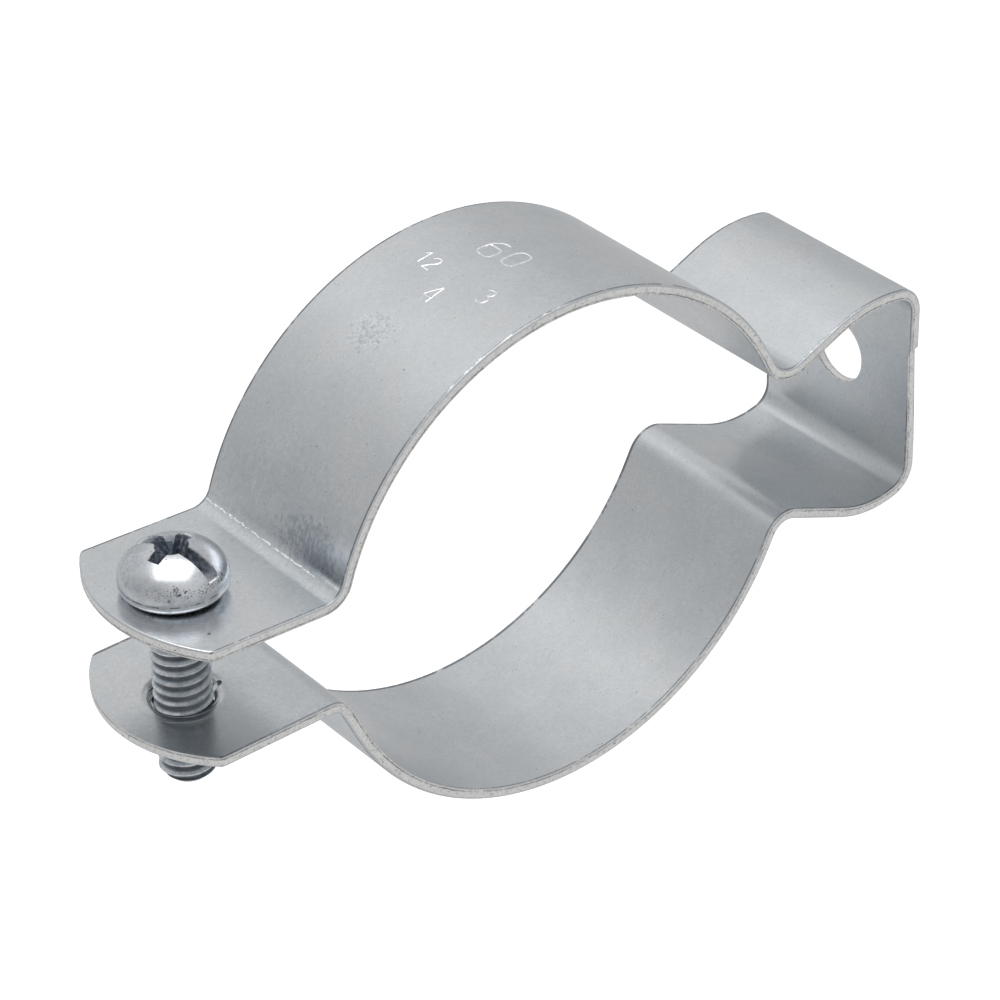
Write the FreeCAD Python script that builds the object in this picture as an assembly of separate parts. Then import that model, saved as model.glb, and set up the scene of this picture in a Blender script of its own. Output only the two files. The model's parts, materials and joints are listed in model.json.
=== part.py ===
import FreeCAD, Part
import math
import os

# Conduit hanger for 2-inch conduit: one folded strap and its clamping screw. Millimetres.
# +Z runs up the screw, +X from the screw to the back, +Y along the conduit.
# The origin is the middle of the ring, midway between the centres of its two arcs.

# Sheet that the strap is folded from
strap_width = 23.5
sheet = 1.25

# Ring: two arcs, the lower one sprung open a little. Empty, its centre stands 3.5 above the upper one's.
ring_radius = 30.2
lower_arc_spring = 0.4

# Folds, from the upper ear round to the lower one. Angles are in degrees, anticlockwise positive.
# Radii are inside the bend, and a lead is the straight run before a bend.
upper_ear_slope = -2.8
upper_ear_angle = 73.5
upper_ear_radius = 2.2
upper_arc_lead = 0.3
upper_arc_angle = -133.8
upper_neck_lead = 1.6
upper_neck_angle = 86.6
upper_neck_radius = 2.85
top_web_run = 5.6
top_web_angle = -34.6
top_web_radius = 15.5
top_corner_angle = -78.9
top_corner_radius = 2.5
back_run = 20.0
bottom_corner_angle = -75.3
bottom_corner_radius = 2.45
bottom_web_angle = -37.4
bottom_web_radius = 11.6
bottom_web_run = 8.2
lower_neck_angle = 84.8
lower_neck_radius = 2.15
lower_arc_lead = 1.95
lower_arc_angle = -127.2
lower_ear_lead = 4.3
lower_ear_angle = 65.2
lower_ear_radius = 1.7

# Blanked edge of the sheet: broken by the die all round the outer face, sharp on the inner one
edge_break = 0.25

# Ears: each end is cut to an arc some way beyond the screw, and its corners are broken
ear_blank = 26.0
ear_to_screw = 10.2
upper_ear_reach = 7.8
upper_ear_end_radius = 18.6
lower_ear_reach = 8.3
lower_ear_end_radius = 16.4
ear_corner_radius = 1.0

# Holes in the strap
back_hole_radius = 3.97
upper_hole_clearance = 0.38
thread_clearance = 0.05

# Pressed thread in the lower ear: a lip drawn down round the screw as one turn of a helix.
# A radial slit parts its low start from its high end.
thread_pitch = 1.27
lip_root_radius = 5.2
lip_high_drop = 0.75
lip_wall = 0.95
slit_angle = -14.0
slit_width = 0.8

# Screw: a quarter-inch machine screw of 20 threads to the inch
screw_radius = 3.12
screw_length = 23.2
tip_chamfer_height = 1.0
tip_radius = 2.1
head_radius = 5.75
head_edge_height = 1.4
head_edge_radius = 1.1
head_height = 5.2
head_seat_gap = 0.03

# Recess in the head: a slot with two short tapering wings across it
slot_width = 1.6
slot_depth = 2.5
slot_angle = -73.0
wing_width = 1.5
wing_span = 6.8
wing_floor_span = 2.4
wing_depth = 3.4

half_width = strap_width / 2
half_sheet = sheet / 2
beyond = 2 * ring_radius
origin = FreeCAD.Vector(0, 0, 0)
upwards = FreeCAD.Vector(0, 0, 1)


def fold_rows():
    """Name, straight run, turn and inside radius of each fold, in order along the strap."""
    return (
        ("upper ear", ear_blank, upper_ear_angle, upper_ear_radius),
        ("upper arc", upper_arc_lead, upper_arc_angle, ring_radius),
        ("upper neck", upper_neck_lead, upper_neck_angle, upper_neck_radius),
        ("top web", top_web_run, top_web_angle, top_web_radius),
        ("top corner", 0.0, top_corner_angle, top_corner_radius),
        ("bottom corner", back_run, bottom_corner_angle, bottom_corner_radius),
        ("bottom web", 0.0, bottom_web_angle, bottom_web_radius),
        ("lower neck", bottom_web_run, lower_neck_angle, lower_neck_radius),
        ("lower arc", lower_arc_lead, lower_arc_angle, ring_radius + lower_arc_spring),
        ("lower ear", lower_ear_lead, lower_ear_angle, lower_ear_radius),
        ("lower end", ear_blank, 0.0, 0.0),
    )


def polar(radius, angle):
    return FreeCAD.Vector(radius * math.cos(angle), 0, radius * math.sin(angle))


def walk():
    """Follow the middle of the sheet from fold to fold, then put the ring's middle at the origin."""
    place = origin
    heading = math.radians(upper_ear_slope)
    runs = {}
    bends = {}
    order = []
    for name, run, turn, radius in fold_rows():
        if run > 0:
            finish = place + polar(run, heading)
            runs[name] = (place, finish, heading)
            order.append(("run", name))
            place = finish
        if turn != 0:
            side = math.copysign(math.pi / 2, turn)
            middle_radius = radius + half_sheet
            centre = place + polar(middle_radius, heading + side)
            new_heading = heading + math.radians(turn)
            bends[name] = (centre, middle_radius, heading - side, new_heading - side)
            order.append(("bend", name))
            place = centre + polar(middle_radius, new_heading - side)
            heading = new_heading
    middle = (bends["upper arc"][0] + bends["lower arc"][0]) / 2
    for name, (start, finish, heading) in runs.items():
        runs[name] = (start - middle, finish - middle, heading)
    for name, (centre, radius, start_angle, end_angle) in bends.items():
        bends[name] = (centre - middle, radius, start_angle, end_angle)
    return runs, bends, order


runs, bends, order = walk()
back_middle = (runs["bottom corner"][0] + runs["bottom corner"][1]) / 2
screw_x = runs["upper ear"][1].x - ear_to_screw


def sheet_face(offset):
    """One face of the sheet as edges: each stretch moved by the offset, to the left of the way along."""
    edges = []
    for kind, name in order:
        if kind == "run":
            start, finish, heading = runs[name]
            shift = polar(offset, heading + math.pi / 2)
            edges.append(Part.LineSegment(start + shift, finish + shift).toShape())
        else:
            centre, radius, start_angle, end_angle = bends[name]
            turns_left = end_angle > start_angle
            face_radius = radius - offset if turns_left else radius + offset
            first = centre + polar(face_radius, start_angle)
            middle = centre + polar(face_radius, (start_angle + end_angle) / 2)
            last = centre + polar(face_radius, end_angle)
            edges.append(Part.Arc(first, middle, last).toShape())
    return edges


def folded_sheet():
    left = sheet_face(half_sheet)
    right = sheet_face(-half_sheet)
    start_cap = Part.LineSegment(right[0].Vertexes[0].Point, left[0].Vertexes[0].Point).toShape()
    end_cap = Part.LineSegment(left[-1].Vertexes[-1].Point, right[-1].Vertexes[-1].Point).toShape()
    outline = Part.Wire(Part.__sortEdges__(left + [end_cap] + right + [start_cap]))
    outline.translate(FreeCAD.Vector(0, -half_width, 0))
    return Part.Face(outline).extrude(FreeCAD.Vector(0, strap_width, 0))


def ear_end_cutter(reach, end_radius, low_z):
    """What is cut away round one ear's end: a block less a cylinder of the end's radius."""
    centre_x = screw_x - reach + end_radius
    block = Part.makeBox(centre_x + beyond, 2 * beyond, beyond, FreeCAD.Vector(-beyond, -beyond, low_z))
    cylinder = Part.makeCylinder(end_radius, beyond, FreeCAD.Vector(centre_x, 0, low_z))
    return block.cut(cylinder)


def ear_hole(radius, low_z):
    return Part.makeCylinder(radius, beyond, FreeCAD.Vector(screw_x, 0, low_z))


def ear_corners(solid):
    """The short upright edges where an ear's curved end meets the strap's sides."""
    found = []
    for edge in solid.Edges:
        box = edge.BoundBox
        upright = 0.8 * sheet < box.ZLength < 2 * sheet
        at_side = abs(abs(box.Center.y) - half_width) < half_sheet and box.YLength < half_sheet
        if upright and at_side and box.XMax < screw_x:
            found.append(edge)
    return found


def outer_rim(solid):
    """The edges all round the blank on its outer face, without the lines across it at the folds."""
    outer_face = Part.Wire(sheet_face(half_sheet))
    found = []
    for edge in solid.Edges:
        box = edge.BoundBox
        middle = edge.valueAt((edge.FirstParameter + edge.LastParameter) / 2)
        shadow = Part.Vertex(middle.x, 0, middle.z)
        on_outer_face = shadow.distToShape(outer_face)[0] < edge_break / 10
        across = box.XLength < edge_break and box.ZLength < edge_break
        if on_outer_face and not across:
            found.append(edge)
    return found


def pressed_thread():
    """The lip in the lower ear: its root is flat in the sheet and its inner edge climbs a full pitch."""
    start, finish, heading = runs["lower end"]
    along = (screw_x - start.x) / (finish.x - start.x)
    top_z = start.z + along * (finish.z - start.z) + half_sheet
    bottom_z = top_z - sheet
    hole_radius = screw_radius + thread_clearance
    low_z = top_z - lip_high_drop - thread_pitch
    slit_half_angle = math.degrees(math.asin(slit_width / 2 / hole_radius))
    sweep = 360 - 2 * slit_half_angle
    climb = thread_pitch * sweep / 360

    def root(z):
        return Part.makeCircle(lip_root_radius, FreeCAD.Vector(0, 0, z), upwards, 0, sweep)

    def lip(z):
        helix = Part.makeHelix(thread_pitch, climb, hole_radius)
        helix.translate(FreeCAD.Vector(0, 0, z))
        return helix.Edges[0]

    rims = [root(top_z), lip(low_z), lip(low_z - lip_wall), root(bottom_z)]
    faces = [Part.makeRuledSurface(rims[i], rims[(i + 1) % 4]) for i in range(4)]
    for end in (0, 1):
        corners = [rim.Vertexes[end].Point for rim in rims]
        faces.append(Part.Face(Part.makePolygon(corners + corners[:1])))
    shell = Part.Shell(faces)
    shell.sewShape()
    solid = Part.Solid(shell)
    if solid.Volume < 0:
        solid.reverse()
    solid.rotate(origin, upwards, slit_angle + slit_half_angle)
    solid.translate(FreeCAD.Vector(screw_x, 0, 0))
    return solid


def strap():
    solid = folded_sheet()
    solid = solid.cut(ear_end_cutter(upper_ear_reach, upper_ear_end_radius, 0))
    solid = solid.cut(ear_end_cutter(lower_ear_reach, lower_ear_end_radius, -beyond))
    solid = solid.makeFillet(ear_corner_radius, ear_corners(solid))
    solid = solid.makeChamfer(edge_break, outer_rim(solid))
    hole_start = FreeCAD.Vector(back_middle.x - sheet, 0, back_middle.z)
    back_hole = Part.makeCylinder(back_hole_radius, 2 * sheet, hole_start, FreeCAD.Vector(1, 0, 0))
    solid = solid.cut(back_hole)
    solid = solid.cut(ear_hole(screw_radius + upper_hole_clearance, 0))
    solid = solid.cut(ear_hole(lip_root_radius, -beyond))
    return solid.fuse(pressed_thread()).removeSplitter()


def head_seat_z():
    """The head's underside is square to the screw and touches the sloping ear on its high side."""
    rim = Part.makeCylinder(head_radius - head_edge_radius, beyond, FreeCAD.Vector(screw_x, 0, 0))
    return folded_sheet().common(rim).BoundBox.ZMax + head_seat_gap


def turned_screw(seat_z):
    """The screw's half section turned round its axis: shank, chamfered tip and domed head."""
    tip_z = seat_z - screw_length
    crown_z = seat_z + head_height
    dome_rise = head_height - head_edge_height
    dome_radius = (head_radius ** 2 + dome_rise ** 2) / (2 * dome_rise)
    dome_middle = math.atan2(head_radius, dome_radius - dome_rise) / 2
    corner_middle = head_edge_radius * (1 - math.sqrt(0.5))

    def at(radius, z):
        return FreeCAD.Vector(radius, 0, z)

    tip = at(0, tip_z)
    tip_rim = at(tip_radius, tip_z)
    shank_low = at(screw_radius, tip_z + tip_chamfer_height)
    shank_high = at(screw_radius, seat_z)
    under_rim = at(head_radius - head_edge_radius, seat_z)
    under_middle = at(head_radius - corner_middle, seat_z + corner_middle)
    edge_low = at(head_radius, seat_z + head_edge_radius)
    edge_high = at(head_radius, seat_z + head_edge_height)
    dome_drop = dome_radius * (1 - math.cos(dome_middle))
    dome_point = at(dome_radius * math.sin(dome_middle), crown_z - dome_drop)
    crown = at(0, crown_z)
    section = Part.Wire([
        Part.LineSegment(tip, tip_rim).toShape(),
        Part.LineSegment(tip_rim, shank_low).toShape(),
        Part.LineSegment(shank_low, shank_high).toShape(),
        Part.LineSegment(shank_high, under_rim).toShape(),
        Part.Arc(under_rim, under_middle, edge_low).toShape(),
        Part.LineSegment(edge_low, edge_high).toShape(),
        Part.Arc(edge_high, dome_point, crown).toShape(),
        Part.LineSegment(crown, tip).toShape(),
    ])
    return Part.Face(section).revolve(origin, upwards, 360)


def recess(crown_z):
    """The slot along X and the tapering wings along Y, both open at the top."""
    slot_corner = FreeCAD.Vector(-2 * head_radius, -slot_width / 2, crown_z - slot_depth)
    slot = Part.makeBox(4 * head_radius, slot_width, 2 * slot_depth, slot_corner)
    wing_taper = (wing_span - wing_floor_span) / 2 / wing_depth
    top_half_span = wing_span / 2 + wing_taper * wing_depth
    floor_half_span = wing_floor_span / 2
    top_z = crown_z + wing_depth
    floor_z = crown_z - wing_depth
    side_x = -wing_width / 2
    wing_outline = Part.makePolygon([
        FreeCAD.Vector(side_x, -top_half_span, top_z),
        FreeCAD.Vector(side_x, top_half_span, top_z),
        FreeCAD.Vector(side_x, floor_half_span, floor_z),
        FreeCAD.Vector(side_x, -floor_half_span, floor_z),
        FreeCAD.Vector(side_x, -top_half_span, top_z),
    ])
    wings = Part.Face(wing_outline).extrude(FreeCAD.Vector(wing_width, 0, 0))
    return slot.fuse(wings)


def screw():
    seat_z = head_seat_z()
    solid = turned_screw(seat_z).cut(recess(seat_z + head_height))
    solid.rotate(origin, upwards, slot_angle)
    solid.translate(FreeCAD.Vector(screw_x, 0, 0))
    return solid


def write(name, shape):
    solids = shape.Solids
    print(name, "solids", len(solids), "valid", shape.isValid(), "volume", round(shape.Volume, 1))
    print(name, shape.BoundBox)
    solids[0].exportStep("parts/" + name + ".step")


print("arc centres apart", bends["lower arc"][0] - bends["upper arc"][0])
print("back hole at", back_middle)
os.makedirs("parts", exist_ok=True)
write("strap", strap())
write("screw", screw())
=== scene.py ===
import bpy
import bmesh
import json
import math
from mathutils import Matrix, Vector

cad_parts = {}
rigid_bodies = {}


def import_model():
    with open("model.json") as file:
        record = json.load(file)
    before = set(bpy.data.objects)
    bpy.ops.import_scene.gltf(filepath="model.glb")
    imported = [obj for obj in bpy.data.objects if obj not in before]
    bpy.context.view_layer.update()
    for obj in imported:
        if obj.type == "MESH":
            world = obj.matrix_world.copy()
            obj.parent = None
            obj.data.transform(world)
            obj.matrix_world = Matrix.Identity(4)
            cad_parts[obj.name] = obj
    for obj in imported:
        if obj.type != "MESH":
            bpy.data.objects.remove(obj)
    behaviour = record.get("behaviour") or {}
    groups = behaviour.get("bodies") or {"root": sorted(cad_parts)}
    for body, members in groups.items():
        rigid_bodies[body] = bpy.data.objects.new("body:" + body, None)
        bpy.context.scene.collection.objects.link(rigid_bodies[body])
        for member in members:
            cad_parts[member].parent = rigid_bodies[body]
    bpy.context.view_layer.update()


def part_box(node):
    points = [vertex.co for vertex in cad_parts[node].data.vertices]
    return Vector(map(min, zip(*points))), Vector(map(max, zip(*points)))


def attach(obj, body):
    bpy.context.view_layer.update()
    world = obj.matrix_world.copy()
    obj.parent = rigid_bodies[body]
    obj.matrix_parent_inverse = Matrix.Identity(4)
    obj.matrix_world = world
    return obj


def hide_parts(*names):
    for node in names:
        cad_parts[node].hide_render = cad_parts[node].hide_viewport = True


for leftover in list(bpy.data.objects):
    bpy.data.objects.remove(leftover, do_unlink=True)

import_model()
print("frame loaded")

mm = 0.001
weld = 0.001 * mm  # points closer than this are merged
sliver = 0.002 * mm  # faces thinner than this go
hair = 0.01 * mm  # places closer than this count as the same
nearly = 0.9  # the share of a length or a normal that counts as all of it
scene = bpy.context.scene
strapLow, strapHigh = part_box("strap")
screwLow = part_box("screw")[0]


# Small helpers for working as by hand

def deselectAll():
    bpy.ops.object.select_all(action="DESELECT")


def only(obj):
    deselectAll()
    obj.select_set(True)
    bpy.context.view_layer.objects.active = obj
    return obj


def openEdit(obj, mode="FACE"):
    only(obj)
    bpy.ops.object.mode_set(mode="EDIT")
    bpy.ops.mesh.select_mode(type=mode)
    bpy.ops.mesh.select_all(action="DESELECT")
    return bmesh.from_edit_mesh(obj.data)


def closeEdit():
    bpy.ops.object.mode_set(mode="OBJECT")


def selectAll():
    # all of the mesh that is open in edit mode
    bpy.ops.mesh.select_all(action="SELECT")


def pick(obj, mode, test):
    mesh = openEdit(obj, mode)
    for item in mesh.faces if mode == "FACE" else mesh.edges:
        if test(item):
            item.select_set(True)
    bmesh.update_edit_mesh(obj.data)


def weldAndClose():
    # merges doubles, turns the faces outwards and leaves edit mode
    selectAll()
    bpy.ops.mesh.remove_doubles(threshold=weld)
    bpy.ops.mesh.normals_make_consistent(inside=False)
    closeEdit()


def settle(obj):
    # bakes the object's place into its mesh
    only(obj)
    bpy.ops.object.transform_apply(location=True, rotation=True, scale=True)
    return obj


def applyModifier(obj, kind, **settings):
    only(obj)
    modifier = obj.modifiers.new(kind.title(), kind)
    for name, value in settings.items():
        setattr(modifier, name, value)
    bpy.ops.object.modifier_apply(modifier=modifier.name)


def cutWith(obj, tool, operation="DIFFERENCE"):
    openEdit(obj)
    bpy.ops.mesh.select_face_by_sides(number=4, type="GREATER")
    bpy.ops.mesh.quads_convert_to_tris()
    closeEdit()
    applyModifier(obj, "BOOLEAN", operation=operation, object=tool, solver="EXACT")
    bpy.data.objects.remove(tool, do_unlink=True)


def dropSlivers(obj):
    # takes out the faces without area that the cuts leave
    openEdit(obj)
    selectAll()
    bpy.ops.mesh.dissolve_degenerate(threshold=sliver)
    selectAll()
    bpy.ops.mesh.quads_convert_to_tris()
    bpy.ops.mesh.dissolve_degenerate(threshold=sliver)
    closeEdit()


def drum(radius, length, place, steps=96, turn=(0, 0, 0)):
    # sizes and place in mm
    deselectAll()
    bpy.ops.mesh.primitive_cylinder_add(
        vertices=steps, radius=radius * mm, depth=length * mm, location=place * mm, rotation=turn,
    )
    return settle(bpy.context.object)


def addBlock(middle, size):
    # middle and size in mm
    deselectAll()
    bpy.ops.mesh.primitive_cube_add(size=1, location=middle * mm)
    block = bpy.context.object
    block.scale = size * mm
    return settle(block)


# Camera: the photo's own viewing angle

view = {
    "azimuth": -38.116,
    "elevation": 33.481,
    "roll": -1.361,
    "target": Vector((-0.390, 0, 0.057)) * mm,
    "distance": 403.32 * mm,
    "lens": 135.02,
    "sensor": 36.0,
    "clip": (0.01, 20.0),
}


def addCamera():
    azimuth = math.radians(view["azimuth"])
    elevation = math.radians(view["elevation"])
    roll = math.radians(view["roll"])
    back = Vector((
        math.sin(azimuth) * math.cos(elevation),
        -math.cos(azimuth) * math.cos(elevation),
        math.sin(elevation),
    ))
    levelRight = (-back).cross(Vector((0, 0, 1))).normalized()
    levelUp = levelRight.cross(-back)
    right = levelRight * math.cos(roll) + levelUp * math.sin(roll)
    up = levelUp * math.cos(roll) - levelRight * math.sin(roll)
    turn = Matrix((right, up, back)).transposed().to_4x4()
    bpy.ops.object.camera_add()
    camera = bpy.context.object
    camera.name = "camera"
    camera.matrix_world = Matrix.Translation(view["target"] + back * view["distance"]) @ turn
    camera.data.lens = view["lens"]
    camera.data.sensor_width = view["sensor"]
    camera.data.clip_start, camera.data.clip_end = view["clip"]
    scene.camera = camera


addCamera()
print("camera placed")


# Folds of the strap in order: run, angle and inside radius, in mm and degrees, as in the solids

strap = {
    "width": 23.5,
    "sheet": 1.25,
    "slope": -2.8,
    "folds": (
        ("upperEar", 26.0, 73.5, 2.2),
        ("upperArc", 0.3, -133.8, 30.2),
        ("upperNeck", 1.6, 86.6, 2.85),
        ("topWeb", 5.6, -34.6, 15.5),
        ("topCorner", 0.0, -78.9, 2.5),
        ("bottomCorner", 20.0, -75.3, 2.45),
        ("bottomWeb", 0.0, -37.4, 11.6),
        ("lowerNeck", 8.2, 84.8, 2.15),
        ("lowerArc", 1.95, -127.2, 30.6),
        ("lowerEar", 4.3, 65.2, 1.7),
        ("lowerEnd", 26.0, 0.0, 0.0),
    ),
    "ringFrom": 20.0,  # bends wider than this are the ring's
    "ringFacet": 1.5,
    "foldFacet": 5.0,
    "fewestFacets": 6,
    "screwFromBend": 10.2,
    "upperReach": 7.8,
    "upperEndRadius": 18.6,
    "lowerReach": 8.3,
    "lowerEndRadius": 16.4,
    "endBlock": (60.0, 60.0, 9.0),
    "endSteps": 100,
    "cornerCut": 0.46,
    "cornerSegments": 6,
    "cornerLean": 0.2,
    "outerRoll": (0.26, 4),  # size and segments
    "innerEdge": (0.07, 2),
    "drillLength": 5.0,
    "backHole": 3.97,
    "upperHole": 3.5,
    "upperLift": 0.5,
    "threadHole": 3.17,
    "lipRoot": 5.2,
    "lipHigh": 0.75,
    "lipWall": 0.95,
    "pitch": 1.27,
    "lipCurve": 5.0,
    "lipCuts": 15,
    "lipProud": 0.004,  # how far the lip's root stands off the ear's faces, so that they unite cleanly
    "lipSeat": 0.06,
    "lipMargin": 0.2,
    "slitAngle": -13.0,
    "slitStart": 2.4,
    "slitEnd": 3.75,
    "slitRadius": 0.5,
    "slitSpare": 0.2,
    "toolDrop": 1.0,
    "toolSteps": 24,
    "notchAngle": 150.0,
    "notchAt": 3.35,
    "notchRadius": 0.35,
    "roundSteps": 128,
    "markStroke": 0.15,
    "strokeSteps": 5,
    "markField": (55.0, 75.0, 9.0),  # the figures lie between these along the strap and this far across
    "markSkin": 0.02,
    "stepHigh": 4.7,
    "stepLength": 0.6,
    "stepLow": -7.5,
    "stepDepth": 0.5,
    "stepCuts": (1.0, -3.0),
    "stepInset": (2.4, 1.7),  # from the back face and from the near rim
    "stepSkin": 0.05,
    "cutBand": 0.38,
}

# Size numbers struck into the upper arc: figure, place along the strap and across it, height, in mm
stampedMarks = (
    ("6", 69.2, 2.0, 3.3),
    ("0", 69.6, -1.2, 3.3),
    ("1", 63.2, 5.9, 2.0),
    ("2", 63.0, 4.3, 2.0),
    ("4", 59.9, 0.4, 2.6),
    ("3", 63.0, -4.5, 2.2),
)

# Strokes of each figure, on a field one high
figureWidth = 0.62
figureStrokes = {
    "0": ((
        (0.31, 1), (0.05, 0.95), (0, 0.5), (0.05, 0.05), (0.31, 0), (0.57, 0.05), (0.62, 0.5), (0.57, 0.95),
        (0.31, 1),
    ),),
    "1": (((0.1, 0.78), (0.34, 1)), ((0.34, 1), (0.34, 0))),
    "2": (((0.02, 0.8), (0.1, 1), (0.55, 1.02), (0.62, 0.66), (0.2, 0.3), (0, 0)), ((0, 0), (0.62, 0))),
    "3": (
        ((0.03, 0.9), (0.3, 1.05), (0.6, 0.9), (0.55, 0.58), (0.25, 0.54)),
        ((0.25, 0.54), (0.66, 0.5), (0.62, 0.05), (0.3, -0.05), (0.0, 0.1)),
    ),
    "4": (((0.46, 0), (0.46, 1)), ((0.42, 1), (0, 0.31)), ((-0.03, 0.29), (0.66, 0.3))),
    "6": (
        ((0.56, 0.98), (0.35, 1.04), (0.08, 0.85), (0.0, 0.6), (0.0, 0.35)),
        (
            (0.31, 0.62), (0.0, 0.6), (-0.03, 0.3), (0.0, 0.0), (0.31, -0.02), (0.62, 0.0), (0.65, 0.3),
            (0.62, 0.6), (0.31, 0.62),
        ),
    ),
}


def polar(radius, angle):
    return Vector((radius * math.cos(angle), 0, radius * math.sin(angle)))


def walkFolds():
    # stretches of the sheet's middle line: ("run", name, start, finish, heading, length so far)
    # or ("bend", name, centre, radius, first angle, last angle, length so far)
    place = Vector((0, 0, 0))
    heading = math.radians(strap["slope"])
    halfSheet = strap["sheet"] / 2
    along = 0
    stretches = []
    for name, run, angle, radius in strap["folds"]:
        if run > 0:
            finish = place + polar(run, heading)
            stretches.append(["run", name, place, finish, heading, along])
            along += run
            place = finish
        if angle != 0:
            side = math.copysign(math.pi / 2, angle)
            middleRadius = radius + halfSheet
            centre = place + polar(middleRadius, heading + side)
            newHeading = heading + math.radians(angle)
            stretches.append(["bend", name, centre, middleRadius, heading - side, newHeading - side, along])
            along += abs(math.radians(angle)) * middleRadius
            place = centre + polar(middleRadius, newHeading - side)
            heading = newHeading
    upper = next(s for s in stretches if s[0] == "bend" and s[1] == "upperArc")
    lower = next(s for s in stretches if s[0] == "bend" and s[1] == "lowerArc")
    middle = (upper[2] + lower[2]) / 2
    for stretch in stretches:
        stretch[2] = stretch[2] - middle
        if stretch[0] == "run":
            stretch[3] = stretch[3] - middle
    return stretches


stretches = walkFolds()
screwX = stretches[0][3].x - strap["screwFromBend"]


def stretchNamed(kind, name):
    return next(s for s in stretches if s[0] == kind and s[1] == name)


def earEndTool(reach, endRadius, middleZ):
    # a block with a round bay: what is blanked away at one ear's end
    centreX = screwX - reach + endRadius
    size = Vector(strap["endBlock"])
    block = addBlock(Vector((centreX - size.x / 2, 0, middleZ)), size)
    cutWith(block, drum(endRadius, 2 * size.z + 2, Vector((centreX, 0, middleZ)), steps=strap["endSteps"]))
    return block


def sweepStrap():
    # one face across the sheet at the upper ear's end, swept along the folds by extrude and spin
    deselectAll()
    start = stretches[0]
    bpy.ops.mesh.primitive_plane_add(size=1, location=start[2] * mm)
    blank = bpy.context.object
    blank.name = "foldedStrap"
    blank.rotation_euler = (0, math.pi / 2 - start[4], 0)
    blank.scale = (strap["sheet"] * mm, strap["width"] * mm, 1)
    settle(blank)
    openEdit(blank)
    selectAll()
    for stretch in stretches:
        if stretch[0] == "run":
            kind, name, begin, finish, heading, along = stretch
            bpy.ops.mesh.extrude_region_move(TRANSFORM_OT_translate={"value": (finish - begin) * mm})
        else:
            kind, name, centre, radius, firstAngle, lastAngle, along = stretch
            facet = strap["ringFacet"] if radius > strap["ringFrom"] else strap["foldFacet"]
            sweep = abs(lastAngle - firstAngle)
            bpy.ops.mesh.spin(
                steps=max(strap["fewestFacets"], math.ceil(math.degrees(sweep) / facet)), dupli=False,
                angle=sweep, use_auto_merge=False, center=centre * mm,
                axis=(0, 1 if lastAngle > firstAngle else -1, 0),
            )
    weldAndClose()
    return blank


def alongStrap(point):
    # distance along the sheet and offset from its middle line, in mm, for a point in metres
    x, z = point.x / mm, point.z / mm
    best = None
    for stretch in stretches:
        if stretch[0] == "run":
            kind, name, begin, finish, heading, along = stretch
            dx, dz = x - begin.x, z - begin.z
            far = dx * math.cos(heading) + dz * math.sin(heading)
            offset = dz * math.cos(heading) - dx * math.sin(heading)
            length = (finish - begin).length
            outside = max(0, -far, far - length)
            far = min(max(far, 0), length)
        else:
            kind, name, centre, radius, firstAngle, lastAngle, along = stretch
            dx, dz = x - centre.x, z - centre.z
            turned = 1 if lastAngle > firstAngle else -1
            angle = (math.atan2(dz, dx) - firstAngle) * turned
            angle = (angle + math.pi) % (2 * math.pi) - math.pi
            sweep = abs(lastAngle - firstAngle)
            if sweep > math.pi / 2 and angle < -math.pi / 4:
                angle += 2 * math.pi
            outside = max(0, -angle, angle - sweep) * radius
            angle = min(max(angle, 0), sweep)
            far = angle * radius
            offset = (radius - math.hypot(dx, dz)) * turned
        score = outside + abs(offset)
        if best is None or score < best[0]:
            best = (score, along + far, offset)
    return best[1], best[2]


def roundEarCorners(blank):
    halfWidth = strap["width"] / 2 * mm

    def upright(edge):
        a, b = edge.verts[0].co, edge.verts[1].co
        atSide = abs(abs(a.y) - halfWidth) < hair and abs(a.y - b.y) < hair
        tall = abs(a.z - b.z) > nearly * strap["sheet"] * mm and abs(a.x - b.x) < strap["cornerLean"] * mm
        return atSide and tall and max(a.x, b.x) < screwX * mm

    pick(blank, "EDGE", upright)
    bpy.ops.mesh.bevel(
        offset=strap["cornerCut"] * mm, segments=strap["cornerSegments"], affect="EDGES", clamp_overlap=False,
    )
    closeEdit()


def breakRim(blank, outer, size):
    # the long edge all round the blank, on the outer or the inner face
    side = 1 if outer else -1
    offset, segments = size
    limit = nearly * strap["sheet"] / 2

    def onRim(edge):
        if len(edge.link_faces) != 2:
            return False
        first, second = edge.link_faces
        if first.normal.dot(second.normal) > 0.5:
            return False
        middle = (edge.verts[0].co + edge.verts[1].co) / 2
        return alongStrap(middle)[1] * side > limit

    pick(blank, "EDGE", onRim)
    bpy.ops.mesh.bevel(offset=offset * mm, segments=segments, affect="EDGES", clamp_overlap=False)
    closeEdit()


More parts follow.
